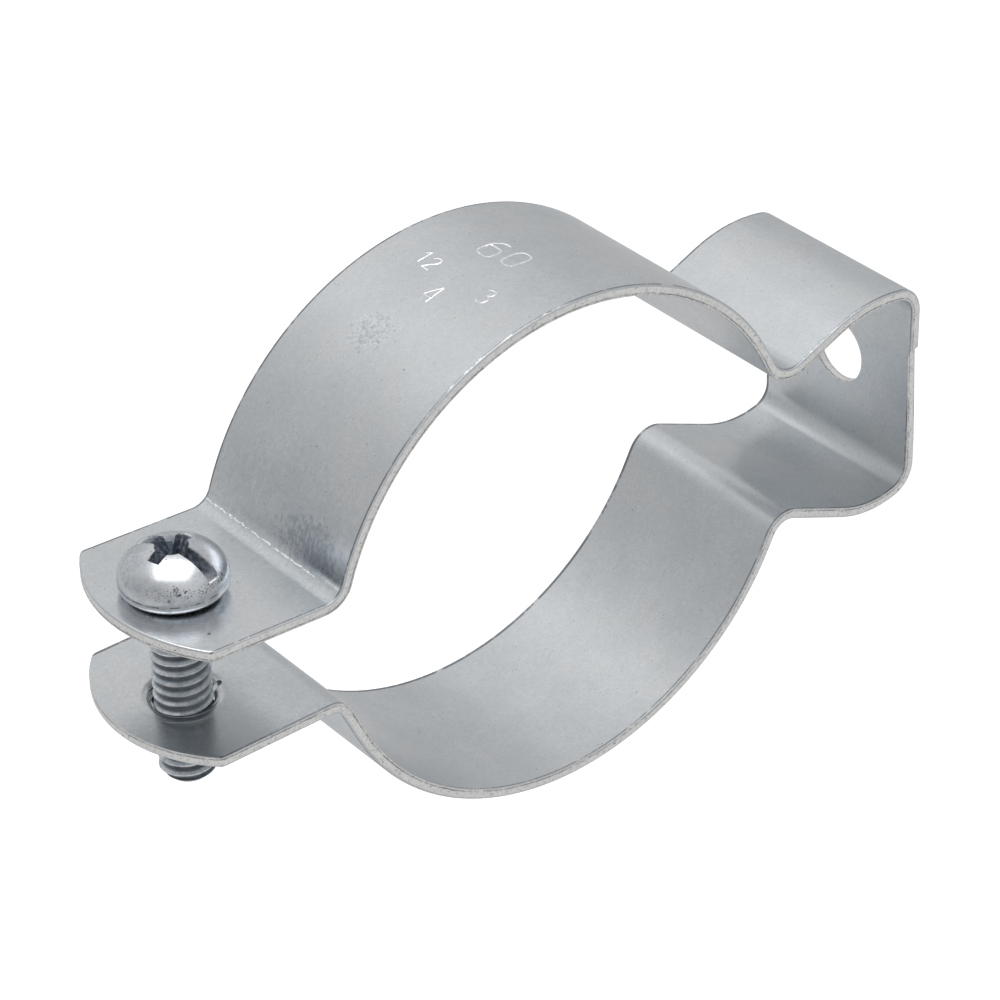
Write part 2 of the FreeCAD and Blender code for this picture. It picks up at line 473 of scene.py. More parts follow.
def pressedThread():
    # a ring section spun right round, then drawn down into one turn of thread
    topZ = stretchNamed("run", "lowerEnd")[2].z + strap["sheet"] / 2
    hole, root = strap["threadHole"], strap["lipRoot"]
    deselectAll()
    bpy.ops.mesh.primitive_plane_add(size=1, rotation=(math.pi / 2, 0, 0))
    lip = bpy.context.object
    lip.name = "pressedThread"
    lip.scale = ((root - hole) * mm, strap["sheet"] * mm, 1)
    lip.location = Vector(((root + hole) / 2, 0, topZ - strap["sheet"] / 2)) * mm
    settle(lip)
    openEdit(lip)
    selectAll()
    bpy.ops.mesh.delete(type="ONLY_FACE")
    closeEdit()
    pick(lip, "EDGE", lambda edge: abs(edge.verts[0].co.x - edge.verts[1].co.x) > 0.5 * mm)
    bpy.ops.mesh.subdivide(number_cuts=strap["lipCuts"])
    selectAll()
    bpy.ops.mesh.spin(
        steps=strap["roundSteps"], dupli=False, angle=2 * math.pi, use_auto_merge=False,
        center=(0, 0, 0), axis=(0, 0, 1),
    )
    weldAndClose()
    slit = math.radians(strap["slitAngle"])
    seam = 2 * math.pi / strap["roundSteps"]
    for vertex in lip.data.vertices:
        x, y, z = vertex.co / mm
        radius = math.hypot(x, y)
        turned = (math.atan2(y, x) - slit) % (2 * math.pi)
        climbed = turned / (2 * math.pi)
        if turned < seam:
            climbed = 0.5 - 0.5 * turned / seam
        if turned > 2 * math.pi - seam:
            climbed = 1 - 0.5 * (turned - 2 * math.pi + seam) / seam
        inward = min(1, max(0, (root - radius) / (root - hole)))
        drop = strap["lipHigh"] + strap["pitch"] * (1 - climbed)
        thinned = (topZ - z) * (1 - (1 - strap["lipWall"] / strap["sheet"]) * inward)
        proud = strap["lipProud"] * (-1 if z > topZ - hair / mm else 1)
        z = topZ - thinned - inward ** strap["lipCurve"] * drop + proud * (1 - inward)
        vertex.co = Vector((x + screwX, y, z)) * mm
    return lip


def slitTool():
    # the short lanced slit with a round end
    angle = math.radians(strap["slitAngle"])
    outward = Vector((math.cos(angle), math.sin(angle), 0))
    middle = Vector((screwX, 0, stretchNamed("run", "lowerEnd")[2].z - strap["toolDrop"]))
    length = strap["slitEnd"] - strap["slitStart"]
    deselectAll()
    bpy.ops.mesh.primitive_cube_add(
        size=1, location=(middle + outward * (strap["slitStart"] + length / 2)) * mm, rotation=(0, 0, angle),
    )
    tool = bpy.context.object
    tool.scale = (length * mm, 2 * strap["slitRadius"] * mm, strap["drillLength"] * mm)
    settle(tool)
    end = middle + outward * strap["slitEnd"]
    tall = strap["drillLength"] + strap["slitSpare"]
    cutWith(tool, drum(strap["slitRadius"], tall, end, steps=strap["toolSteps"]), "UNION")
    return tool


def notchTool():
    # the small notch in the lip, across from the slit
    angle = math.radians(strap["notchAngle"])
    place = Vector((math.cos(angle) * strap["notchAt"], math.sin(angle) * strap["notchAt"], 0))
    place += Vector((screwX, 0, stretchNamed("run", "lowerEnd")[2].z - strap["toolDrop"]))
    return drum(strap["notchRadius"], strap["drillLength"], place, steps=strap["toolSteps"])


def onSheet(along, offset, across):
    # the point at a distance along the sheet's middle line, off it and across it, in mm
    stretch = next(s for s in reversed(stretches) if s[-1] <= along)
    if stretch[0] == "run":
        kind, name, begin, finish, heading, start = stretch
        point = begin + polar(along - start, heading)
        normal = heading + math.pi / 2
    else:
        kind, name, centre, radius, firstAngle, lastAngle, start = stretch
        turned = 1 if lastAngle > firstAngle else -1
        angle = firstAngle + turned * (along - start) / radius
        point = centre + polar(radius, angle)
        normal = angle + math.pi if turned > 0 else angle
    return point + polar(offset, normal) + Vector((0, across, 0))


def addStroke(points, along, across, height):
    # one round stroke of a figure, laid on the sheet's outer face
    deselectAll()
    data = bpy.data.curves.new("stroke", "CURVE")
    data.dimensions = "3D"
    data.bevel_depth = strap["markStroke"] * mm
    data.bevel_resolution = 2
    data.use_fill_caps = True
    stroke = bpy.data.objects.new("stroke", data)
    scene.collection.objects.link(stroke)
    closed = points[0] == points[-1]
    spline = data.splines.new("NURBS")
    spline.points.add(len(points) - 2 if closed else len(points) - 1)
    for point, (u, v) in zip(spline.points, points):
        place = onSheet(along + (v - 0.5) * height, strap["sheet"] / 2, across - (u - figureWidth / 2) * height)
        point.co = (*(place * mm), 1)
    spline.order_u = 3 if len(points) > 3 else 2
    spline.use_endpoint_u = not closed
    spline.use_cyclic_u = closed
    spline.resolution_u = strap["strokeSteps"]
    only(stroke)
    bpy.ops.object.convert(target="MESH")
    stroke = bpy.context.object
    openEdit(stroke)
    weldAndClose()
    return stroke


def strikeFigures(blank):
    for figure, along, across, height in stampedMarks:
        for points in figureStrokes[figure]:
            cutWith(blank, addStroke(points, along, across, height))


def shearStep(blank):
    # the near side of the back, sheared a little short below a step
    high, low = strap["stepHigh"], strap["stepLow"]
    for height in (high, high - strap["stepLength"], *strap["stepCuts"], low):
        openEdit(blank)
        selectAll()
        bpy.ops.mesh.bisect(plane_co=(0, 0, height * mm), plane_no=(0, 0, 1), use_fill=False)
        closeEdit()
    backX = strapHigh.x / mm - strap["stepInset"][0]
    nearY = strapLow.y / mm + strap["stepInset"][1]
    for vertex in blank.data.vertices:
        x, y, z = vertex.co / mm
        if x > backX and y < nearY and low < z < high - strap["stepSkin"]:
            vertex.co.y += strap["stepDepth"] * (z - low) / (high - low) * mm


def buildStrap():
    blank = sweepStrap()
    shearStep(blank)
    upperEar = stretchNamed("run", "upperEar")
    lowerEnd = stretchNamed("run", "lowerEnd")
    cutWith(blank, earEndTool(strap["upperReach"], strap["upperEndRadius"], upperEar[2].z))
    cutWith(blank, earEndTool(strap["lowerReach"], strap["lowerEndRadius"], lowerEnd[3].z))
    roundEarCorners(blank)
    breakRim(blank, True, strap["outerRoll"])
    breakRim(blank, False, strap["innerEdge"])
    strikeFigures(blank)
    back = stretchNamed("run", "bottomCorner")
    backMiddle = (back[2] + back[3]) / 2
    drill = strap["drillLength"]
    cutWith(blank, drum(strap["backHole"], drill, backMiddle, turn=(0, math.pi / 2, 0)))
    cutWith(blank, drum(strap["upperHole"], drill, Vector((screwX, 0, upperEar[3].z + strap["upperLift"]))))
    earHole = Vector((screwX, 0, lowerEnd[2].z))
    cutWith(blank, drum(strap["lipRoot"] - strap["lipSeat"], drill, earHole, steps=strap["roundSteps"]))
    lip = pressedThread()
    cutWith(lip, slitTool())
    cutWith(lip, notchTool())
    cutWith(blank, lip, "UNION")
    dropSlivers(blank)
    return blank


foldedStrap = buildStrap()
print("strap built")


# Clamping screw: domed head with slot and wings, cut thread, flat tip; it turns right handed

clampScrew = {
    "length": 23.2,
    "radius": 3.12,
    "pitch": 1.27,
    "threadDepth": 0.72,
    # the thread's outline over one pitch: height over the root, or None for the crest, and share of the pitch
    "section": ((None, 0.14), (0.05, 0.45), (0, 0.53), (0, 0.60), (0.05, 0.68), (None, 1.0)),
    "footTurns": 2.5,  # how far under the tip the thread starts before it is trimmed
    "spareTurns": 4,
    "sideSpare": 0.5,  # how far the trimming blank clears the crests
    "topSpare": 0.4,
    "tipRadius": 2.1,
    "tipChamfer": 1.0,
    "seatInset": 0.9,
    "pole": 0.02,
    "headRadius": 5.75,
    "headEdge": 1.4,
    "headHeight": 5.2,
    "headRoll": 1.1,
    "slotWidth": 1.6,
    "slotDepth": 2.5,
    "slotAngle": -73.0,
    "wingWidth": 1.5,
    "wingSpan": 6.8,
    "wingFloor": 2.4,
    "wingDepth": 3.4,
    "coneMouth": 1.85,
    "coneFoot": 0.6,
    "coneDepth": 3.3,
    "coneSteps": 48,
    "headSteps": 128,
    "rollRings": 8,
    "domeRings": 24,
    "threadSteps": 64,
}
seatZ = screwLow.z / mm + clampScrew["length"]


def turnedPiece(name, profile, steps):
    # a disc drawn out ring by ring, as on a lathe; profile gives radius and height in mm
    deselectAll()
    firstRadius, firstZ = profile[0]
    bpy.ops.mesh.primitive_circle_add(
        vertices=steps, radius=firstRadius * mm, fill_type="NGON", location=(screwX * mm, 0, firstZ * mm)
    )
    piece = settle(bpy.context.object)
    piece.name = name
    openEdit(piece)
    selectAll()
    radius, z = firstRadius, firstZ
    for nextRadius, nextZ in profile[1:]:
        bpy.ops.mesh.extrude_region_move(TRANSFORM_OT_translate={"value": (0, 0, (nextZ - z) * mm)})
        grow = nextRadius / radius
        bpy.ops.transform.resize(value=(grow, grow, 1), center_override=(screwX * mm, 0, nextZ * mm))
        radius, z = nextRadius, nextZ
    selectAll()
    bpy.ops.mesh.normals_make_consistent(inside=False)
    closeEdit()
    return piece


def headProfile():
    c = clampScrew
    rise = c["headHeight"] - c["headEdge"]
    profile = [(c["radius"] - c["seatInset"], seatZ)]
    profile.append((c["headRadius"] - c["headRoll"], seatZ))
    for step in range(1, c["rollRings"] + 1):
        angle = math.radians(90 * step / c["rollRings"])
        profile.append((
            c["headRadius"] - c["headRoll"] + c["headRoll"] * math.sin(angle),
            seatZ + c["headRoll"] * (1 - math.cos(angle)),
        ))
    for step in range(c["domeRings"]):
        angle = math.radians(90 * step / c["domeRings"])
        profile.append((c["headRadius"] * math.cos(angle), seatZ + c["headEdge"] + rise * math.sin(angle)))
    profile.append((c["pole"], seatZ + c["headHeight"]))
    return profile


def helicalThread():
    # one pitch of thread section, carried up its helix and then trimmed by a turned blank
    c = clampScrew
    root, crest, pitch = c["radius"] - c["threadDepth"], c["radius"], c["pitch"]
    deselectAll()
    bpy.ops.mesh.primitive_plane_add(size=1, location=(screwX * mm, 0, 0))
    thread = bpy.context.object
    thread.name = "thread"
    openEdit(thread, "VERT")
    selectAll()
    bpy.ops.mesh.merge(type="CENTER")
    bpy.ops.transform.translate(value=(crest * mm, 0, 0))
    height = 0
    radius = crest
    for lift, share in c["section"]:
        nextRadius = crest if lift is None else root + lift
        nextHeight = share * pitch
        bpy.ops.mesh.extrude_vertices_move(
            TRANSFORM_OT_translate={"value": ((nextRadius - radius) * mm, 0, (nextHeight - height) * mm)}
        )
        height, radius = nextHeight, nextRadius
    closeEdit()
    thread.location.z = (seatZ - c["length"] - c["footTurns"] * pitch) * mm
    turns = math.ceil(c["length"] / pitch) + c["spareTurns"]
    applyModifier(
        thread, "SCREW", axis="Z", angle=2 * math.pi, screw_offset=pitch * mm, iterations=turns,
        steps=c["threadSteps"], render_steps=c["threadSteps"], use_merge_vertices=True, merge_threshold=weld,
        use_smooth_shade=False,
    )
    settle(thread)
    openEdit(thread, "VERT")
    selectAll()
    bpy.ops.mesh.remove_doubles(threshold=weld)
    bpy.ops.mesh.select_all(action="DESELECT")
    bpy.ops.mesh.select_non_manifold(extend=False)
    bpy.ops.mesh.fill_holes(sides=0)
    selectAll()
    bpy.ops.mesh.normals_make_consistent(inside=False)
    closeEdit()
    return thread


def recessTool():
    c = clampScrew
    crownZ = seatZ + c["headHeight"]
    slot = addBlock(
        Vector((screwX, 0, crownZ)), Vector((4 * c["headRadius"], c["slotWidth"], 2 * c["slotDepth"]))
    )
    wings = addBlock(
        Vector((screwX, 0, crownZ)), Vector((c["wingWidth"], c["wingFloor"], 2 * c["wingDepth"]))
    )
    flare = (c["wingSpan"] + (c["wingSpan"] - c["wingFloor"])) / c["wingFloor"]
    pick(wings, "FACE", lambda face: face.normal.z > nearly)
    bpy.ops.transform.resize(value=(1, flare, 1), center_override=(screwX * mm, 0, crownZ * mm))
    closeEdit()
    cutWith(slot, wings, "UNION")
    slope = (c["coneMouth"] - c["coneFoot"]) / c["coneDepth"]
    deselectAll()
    bpy.ops.mesh.primitive_cone_add(
        vertices=c["coneSteps"], radius1=c["coneFoot"] * mm, radius2=(c["coneMouth"] + slope) * mm,
        depth=(c["coneDepth"] + 1) * mm, location=Vector((screwX, 0, crownZ + (1 - c["coneDepth"]) / 2)) * mm,
    )
    cutWith(slot, settle(bpy.context.object), "UNION")
    only(slot)
    scene.cursor.location = (screwX * mm, 0, 0)
    bpy.ops.object.origin_set(type="ORIGIN_CURSOR")
    slot.rotation_euler.z = math.radians(c["slotAngle"])
    return settle(slot)


def buildScrew():
    c = clampScrew
    head = turnedPiece("clampScrew", headProfile(), c["headSteps"])
    cutWith(head, recessTool())
    tipZ = seatZ - c["length"]
    slope = c["tipChamfer"] / (c["radius"] - c["tipRadius"])
    wide = c["radius"] + c["sideSpare"]
    chamferTop = tipZ + c["tipChamfer"] + c["sideSpare"] * slope
    blank = turnedPiece(
        "blank", [(c["tipRadius"], tipZ), (wide, chamferTop), (wide, seatZ + c["topSpare"])], c["headSteps"],
    )
    thread = helicalThread()
    cutWith(thread, blank, "INTERSECT")
    cutWith(head, thread, "UNION")
    dropSlivers(head)
    return head


screwPiece = buildScrew()
print("screw built")


# Map of the sheet: u runs along the strap, v across it

mapUnit = 100.0  # mm of sheet to one unit of the map
edgeShift = 20.0  # how far off the sheet its cut edge lies on the map, mm


def mapSheet(piece):
    layer = piece.data.uv_layers.new(name="sheet")
    places = [alongStrap(vertex.co) for vertex in piece.data.vertices]
    edgeFaces = set()
    for face in piece.data.polygons:
        spread = [places[i][1] for i in face.vertices]
        middle = sum(spread) / len(spread)
        if abs(middle) < strap["cutBand"] and not aroundScrew(face.center):
            edgeFaces.add(face.index)
        for loopIndex in face.loop_indices:
            vertexIndex = piece.data.loops[loopIndex].vertex_index
            across = piece.data.vertices[vertexIndex].co.y / mm
            if face.index in edgeFaces:
                across = places[vertexIndex][1] + edgeShift
            layer.data[loopIndex].uv = (places[vertexIndex][0] / mapUnit, across / mapUnit)
    return edgeFaces


def isStruck(point):
    # true in the grooves of the figures
    along, offset = alongStrap(point)
    first, last, side = strap["markField"]
    sunken = 0 < offset < strap["sheet"] / 2 - strap["markSkin"]
    return sunken and first < along < last and abs(point.y / mm) < side


def aroundScrew(point):
    # true at the pressed thread in the lower ear
    far = math.hypot(point.x / mm - screwX, point.y / mm)
    return far < strap["lipRoot"] + strap["lipMargin"] and point.z < 0


edgeFaces = mapSheet(foldedStrap)


# Materials

finish = {
    "sheetColour": (0.719, 0.742, 0.763, 1),
    "sheetShade": (0.626, 0.661, 0.684, 1),
    "sheetWarm": (0.748, 0.733, 0.725, 1),
    "grainColour": (0.500, 0.534, 0.563, 1),
    # darker patches, and painted shade by the upper ear's bend
    "patchAndShadeColour": (0.371, 0.412, 0.452, 1),
    # dark specks and spots, and painted shade over the sheet's far rim
    "speckAndShadeColour": (0.10, 0.11, 0.13, 1),
    # pale strokes and scratches, and painted highlights on the ear's bend and the recess rim
    "paleMarkAndHighlight": (1.0, 1.0, 1.0, 1),
    "sheetMetal": 1.0,
    "sheetRoughness": 0.31,
    "earRoughness": 0.23,
    # painted highlight on the struck figures
    "markHighlight": (1.0, 1.0, 1.0, 1),
    "markHighlightShade": (0.74, 0.75, 0.77, 1),
    "edgeColour": (1.0, 0.995, 0.98, 1),
    "edgeShade": (0.90, 0.90, 0.89, 1),
    "edgeTorn": (0.54, 0.54, 0.535, 1),
    "edgeDark": (0.12, 0.12, 0.12, 1),
    "screwColour": (0.686, 0.702, 0.730, 1),
    "screwShade": (0.477, 0.510, 0.560, 1),
    "threadColour": (0.86, 0.88, 0.90, 1),
    "threadShade": (0.54, 0.61, 0.66, 1),
    "rootShadeColour": (0.07, 0.085, 0.105, 1),
    "recessShadeColour": (0.15, 0.18, 0.22, 1),
    "crestRust": (0.33, 0.27, 0.21, 1),
}

# Masks made of noise are given as scale, detail, roughness, the levels where the mask starts and is full,
# and its values there where these aren't 0 and 1. Scratches are given as scale, stretch, turn and level.

def addNode(tree, kind, place=(0, 0), **settings):
    node = tree.nodes.new(kind)
    node.location = place
    for name, value in settings.items():
        setattr(node, name, value)
    return node


def newMaterial(name):
    material = bpy.data.materials.new(name)
    material.use_nodes = True
    material.node_tree.nodes.clear()
    return material, material.node_tree


def feed(tree, socket, value):
    # a link when the value is another node's output, else a plain value
    if hasattr(value, "is_output"):
        tree.links.new(value, socket)
    else:
        socket.default_value = value


def maths(tree, operation, first, second=0.0):
    node = addNode(tree, "ShaderNodeMath", operation=operation)
    feed(tree, node.inputs[0], first)
    feed(tree, node.inputs[1], second)
    return node.outputs[0]


def chain(tree, operation, first, *others):
    for other in others:
        first = maths(tree, operation, first, other)
    return first


def times(tree, *values):
    return chain(tree, "MULTIPLY", *values)


def addUp(tree, *values):
    return chain(tree, "ADD", *values)


def less(tree, first, second):
    return maths(tree, "SUBTRACT", first, second)


def highest(tree, *values):
    return chain(tree, "MAXIMUM", *values)


def awayFrom(tree, value, centre):
    return maths(tree, "ABSOLUTE", less(tree, value, centre))


def length(tree, *sides):
    return maths(tree, "SQRT", addUp(tree, *[times(tree, side, side) for side in sides]))


def mapRange(tree, value, fromLow, fromHigh, toLow=0.0, toHigh=1.0):
    node = addNode(tree, "ShaderNodeMapRange", interpolation_type="SMOOTHSTEP")
    for name, number in (
        ("Value", value), ("From Min", fromLow), ("From Max", fromHigh), ("To Min", toLow), ("To Max", toHigh),
    ):
        feed(tree, node.inputs[name], number)
    return node.outputs[0]


def fade(tree, value, band):
    # full below the band, nothing above it
    return mapRange(tree, value, *band, 1.0, 0.0)


def noise(tree, vector, scale, detail, roughness):
    node = addNode(tree, "ShaderNodeTexNoise")
    feed(tree, node.inputs["Scale"], scale)
    node.inputs["Detail"].default_value = detail
    node.inputs["Roughness"].default_value = roughness
    tree.links.new(vector, node.inputs["Vector"])
    return node.outputs["Fac"]


def cloudy(tree, vector, pattern):
    scale, detail, roughness, *levels = pattern
    return mapRange(tree, noise(tree, vector, scale, detail, roughness), *levels)


def wander(tree, vector, pattern):
    # noise about zero, given as scale, detail, roughness and reach
    scale, detail, roughness, reach = pattern
    return times(tree, less(tree, noise(tree, vector, scale, detail, roughness), 0.5), reach)


def mixColour(tree, factor, first, second):
    node = addNode(tree, "ShaderNodeMix", data_type="RGBA")
    for socket, value in ((node.inputs[0], factor), (node.inputs[6], first), (node.inputs[7], second)):
        feed(tree, socket, value)
    return node.outputs[2]


def layer(tree, colour, *coats):
    # each coat is a mask and the name of the finish that it lays over what is there
    for mask, name in coats:
        colour = mixColour(tree, mask, colour, finish[name])
    return colour


def splitAxes(tree, vector):
    node = addNode(tree, "ShaderNodeSeparateXYZ")
    tree.links.new(vector, node.inputs[0])
    return node.outputs


def newGroup(name, output, **inputs):
    group = bpy.data.node_groups.new(name, "ShaderNodeTree")
    group.interface.new_socket("Vector", in_out="INPUT", socket_type="NodeSocketVector")
    for label, value in inputs.items():
        label = label.replace("_", " ")
        group.interface.new_socket(label, in_out="INPUT", socket_type="NodeSocketFloat").default_value = value
    group.interface.new_socket(output, in_out="OUTPUT", socket_type="NodeSocketFloat")
    start = addNode(group, "NodeGroupInput", (-800, 0)).outputs
    end = addNode(group, "NodeGroupOutput", (800, 0)).inputs
    return group, start, end


def mottleGroup():
    # soft uneven plating at two sizes, about 0.5 all over
    fineTimes = 9.0
    group, start, end = newGroup("platingMottle", "Value", Scale=150.0, Fine_Share=0.4)
    broad = noise(group, start["Vector"], start["Scale"], 4.0, 0.6)
    fine = noise(group, start["Vector"], times(group, start["Scale"], fineTimes), 3.0, 0.6)
    both = addNode(group, "ShaderNodeMix")
    for socket, value in ((0, start["Fine Share"]), (2, broad), (3, fine)):
        feed(group, both.inputs[socket], value)
    group.links.new(both.outputs[0], end[0])
    return group


def specksGroup():
    # small sparse dark spots in the plating, in loose clusters
    clusterTimes, clusterReach, softness = 0.13, 0.35, 0.05
    group, start, end = newGroup("darkSpecks", "Mask", Scale=900.0, Level=0.72)
    grain = noise(group, start["Vector"], start["Scale"], 1.0, 0.5)
    clusterScale = times(group, start["Scale"], clusterTimes)
    clusters = wander(group, start["Vector"], (clusterScale, 2.0, 0.5, clusterReach))
    top = addUp(group, start["Level"], softness)
    group.links.new(mapRange(group, addUp(group, grain, clusters), start["Level"], top), end[0])
    return group


def scratchGroup():
    # thin straight rubs; Stretch gives how much longer than wide they are
    softness = 0.04
    group, start, end = newGroup("fineScratches", "Mask", Scale=60.0, Stretch=18.0, Turn=0.4, Level=0.68)
    turned = addNode(group, "ShaderNodeVectorRotate", rotation_type="AXIS_ANGLE")
    turned.inputs["Axis"].default_value = (0, 0, 1)
    feed(group, turned.inputs["Vector"], start["Vector"])
    feed(group, turned.inputs["Angle"], start["Turn"])
    shrink = addNode(group, "ShaderNodeCombineXYZ")
    for socket, value in zip(shrink.inputs, (1, start["Stretch"], 1)):
        feed(group, socket, value)
    drawn = addNode(group, "ShaderNodeVectorMath", operation="MULTIPLY")
    group.links.new(turned.outputs[0], drawn.inputs[0])
    group.links.new(shrink.outputs[0], drawn.inputs[1])
    lines = noise(group, drawn.outputs[0], start["Scale"], 2.0, 0.5)
    top = addUp(group, start["Level"], softness)
    group.links.new(mapRange(group, lines, start["Level"], top), end[0])
    return group


def spotGroup():
    # a soft-edged round or long spot on the sheet's map, with an uneven outline
    ragged, softEdge = (140.0, 4.0, 0.6, 4.0), (0.55, 1.15)
    group, start, end = newGroup(
        "sheetSpot", "Mask", Centre_Along=0.0, Centre_Across=0.0, Reach_Along=1.0, Reach_Across=1.0,
        Unevenness=0.4,
    )
    shares = []
    for axis, name in zip(splitAxes(group, start["Vector"]), ("Along", "Across")):
        far = less(group, times(group, axis, mapUnit), start["Centre " + name])
        shares.append(maths(group, "DIVIDE", far, start["Reach " + name]))
    uneven = times(group, wander(group, start["Vector"], ragged), start["Unevenness"])
    group.links.new(fade(group, addUp(group, length(group, *shares), uneven), softEdge), end[0])
    return group


effects = {
    "mottle": mottleGroup(),
    "specks": specksGroup(),
    "scratches": scratchGroup(),
    "spot": spotGroup(),
}


def effect(tree, kind, vector, **values):
    node = addNode(tree, "ShaderNodeGroup", node_tree=effects[kind])
    tree.links.new(vector, node.inputs["Vector"])
    for name, value in values.items():
        feed(tree, node.inputs[name.replace("_", " ")], value)
    return node.outputs[0]


def plating(tree, place, scale, fineShare, levels):
    # the mottle, and its mask for the lighter of two finishes
    mottle = effect(tree, "mottle", place, Scale=scale, Fine_Share=fineShare)
    return mottle, mapRange(tree, mottle, *levels)


def scratches(tree, sheetMap, pattern):
    scale, stretch, turn, level = pattern
    return effect(tree, "scratches", sheetMap, Scale=scale, Stretch=stretch, Turn=turn, Level=level)


def sheetSpot(tree, sheetMap, spot):
    along, across, reachAlong, reachAcross, unevenness = spot
    return effect(
        tree, "spot", sheetMap, Centre_Along=along, Centre_Across=across, Reach_Along=reachAlong,
        Reach_Across=reachAcross, Unevenness=unevenness,
    )


def startShader(name, metallic, roughness):
    material, tree = newMaterial(name)
    out = addNode(tree, "ShaderNodeOutputMaterial", (600, 0))
    shader = addNode(tree, "ShaderNodeBsdfPrincipled", (300, 0))
    tree.links.new(shader.outputs[0], out.inputs[0])
    shader.inputs["Metallic"].default_value = metallic
    shader.inputs["Roughness"].default_value = roughness
    place = addNode(tree, "ShaderNodeTexCoord", (-900, 0)).outputs["Object"]
    return material, tree, shader, place


def readSheetMap(tree):
    # the sheet's map, and the distances along and across the sheet in mm
    sheetMap = addNode(tree, "ShaderNodeUVMap", (-900, -300), uv_map="sheet").outputs[0]
    return sheetMap, [times(tree, axis, mapUnit) for axis in splitAxes(tree, sheetMap)[:2]]


def addBump(tree, shader, height, bump):
    node = addNode(tree, "ShaderNodeBump", (100, -300))
    node.inputs["Strength"].default_value, node.inputs["Distance"].default_value = bump
    tree.links.new(height, node.inputs["Height"])
    tree.links.new(node.outputs[0], shader.inputs["Normal"])


sheetMarks = {
    "plating": (170.0, 0.45, (0.34, 0.66)),
    "clouds": (7.0, 3.0, 0.6, 0.36, 0.64, 0.0, 0.35),
    "fineGrain": (4400.0, 2.0, 0.6, 0.36, 0.64, 0.0, 0.30),
    # spots: centre along and across, reach along and across, in mm, and unevenness
    "rubbed": (52.8, 2.0, 2.7, 2.4, 0.9),
    "rubbedGrain": (2400.0, 3.0, 0.7, 0.38, 0.62, 0.0, 0.7),
    # painted shade by the upper ear's concave bend
    "bendPaintedShade": (31.5, -2.0, 7.0, 12.0, 0.5),
    "bendPaintedShadeShare": 0.22,
    "bendDark": (31.0, -5.2, 2.8, 5.0, 0.8),
    "bendGrain": (1300.0, 3.0, 0.6, 0.40, 0.62),
    "bendDrawn": (38.0, 9.0, 0.0, 0.50),
    "bendDarkShare": 0.8,
    "earDot": (13.8, -8.8, 0.22, 0.16, 0.25),
    "speckScale": 4500.0,
    "speckLevel": 0.745,
    "speckShare": 0.6,
    # the dark line along both rims, and painted shade over all of the far rim's lip; bands are in mm
    "rimAcross": 11.56,
    "rimHalf": (0.03, 0.11),
    "rimLip": (11.30, 11.42),
    "rimBreaks": (420.0, 4.0, 0.7, 0.34, 0.50),
    "rimLineAndShadeShare": 0.75,
    # the broken pale line in the upper ear's bend, a painted highlight, and the strokes about it
    "creaseAlong": 28.3,
    "creaseHalf": (0.04, 0.13),
    "creaseWander": (85.0, 4.0, 0.75, 0.95),
    "creaseBreaks": (130.0, 4.0, 0.8, 0.45, 0.50),
    "creaseEnd": (-8.0, -7.6),
    "creaseHighlightMatte": 0.9,
    "strokes": (42.0, 11.0, 0.0, 0.56),
    "strokeShare": 0.10,
    "bendMiddle": 28.1,
    "bendHalf": (0.9, 2.6),
    "bendBare": 0.15,
    "bendPolish": 0.09,
    "streaks": (17.0, 22.0, 0.0, 0.655),
    "streakShare": 0.30,
    "streakMiddle": 34.3,
    "streakHalf": (3.5, 7.0),
    "rubs": (55.0, 14.0, 0.5, 0.69),
    "rubShare": 0.22,
    # roughness
    "upperFlatEnd": (22.0, 25.5),
    "lowerFlatStart": (1.0, 5.0),
    "mottleDull": 0.12,
    "undersideDepth": 0.9,
    "undersideDull": 0.25,
    "wornDull": 0.22,
    "grain": (2600.0, 4.0, 0.6),
    "bump": (0.08, 0.1 * mm),
}


